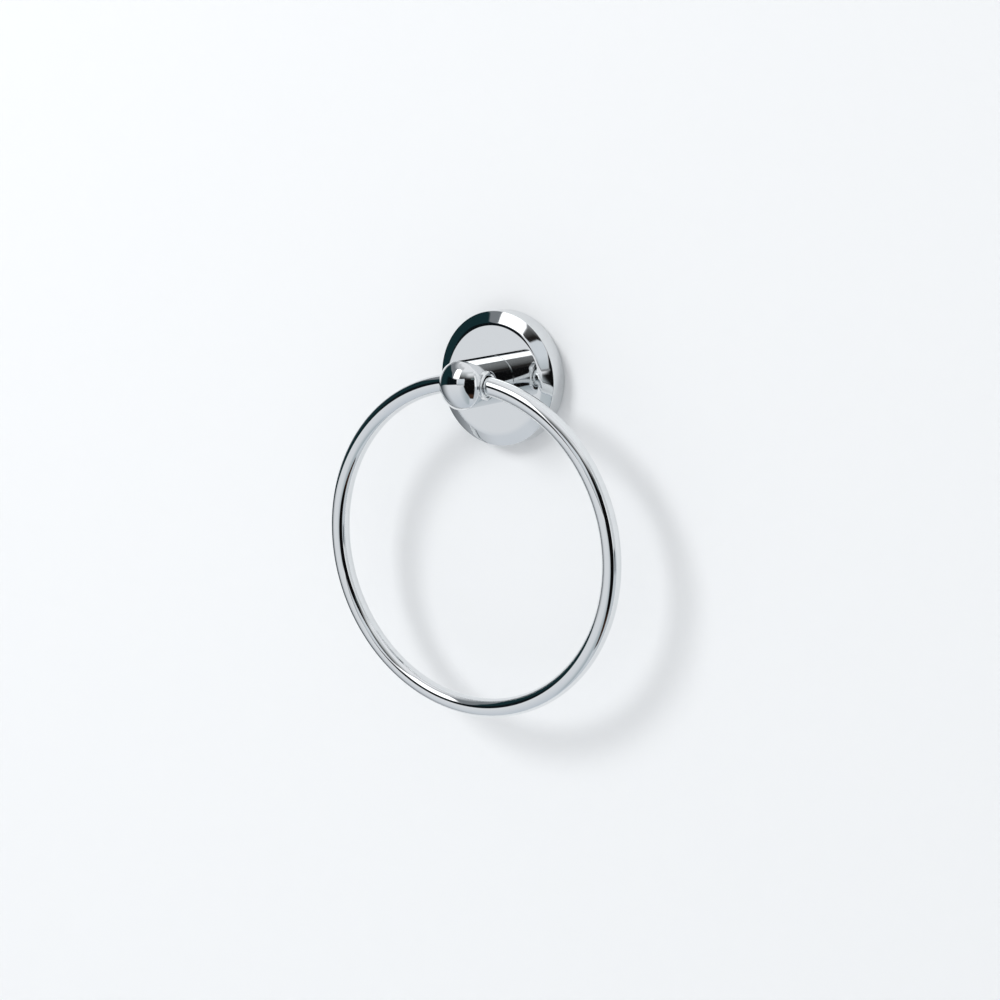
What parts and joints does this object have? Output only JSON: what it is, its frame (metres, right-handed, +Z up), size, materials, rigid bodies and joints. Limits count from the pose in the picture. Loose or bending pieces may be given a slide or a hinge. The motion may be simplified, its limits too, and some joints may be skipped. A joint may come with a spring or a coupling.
{
  "type": "towel ring",
  "caption": "Wall-mounted bathroom towel ring: a round rose with a short domed post, from which a round rod ring hangs and swings freely to hold a hand towel.",
  "frame": {"origin": "centre of the rose on the wall", "axes": "+Y into the wall, +Z up, +X to the right of someone facing the wall"},
  "size_m": [0.1768, 0.0496, 0.206],
  "materials": {
    "chrome": "polished chrome plate on brass",
    "plated_steel": "zinc plated steel",
    "cast_zinc": "bare die-cast zinc alloy"
  },
  "bodies": {
    "wall_mount": {"wall_plate": "cast_zinc", "wall_rose": "chrome", "post": "chrome", "post_washer": "plated_steel", "lock_washer": "plated_steel", "post_screw": "plated_steel", "grub_screw": "plated_steel", "bush_right": "chrome", "bush_left": "chrome"},
    "ring": {"ring": "chrome"}
  },
  "joints": [
    {"name": "ring_swing", "type": "hinge", "parent": "wall_mount", "child": "ring", "pos_m": [0, -0.0353, -0.00025], "axis": [-1, 0, 0], "range_deg": [-10.5, 190.5]}
  ]
}
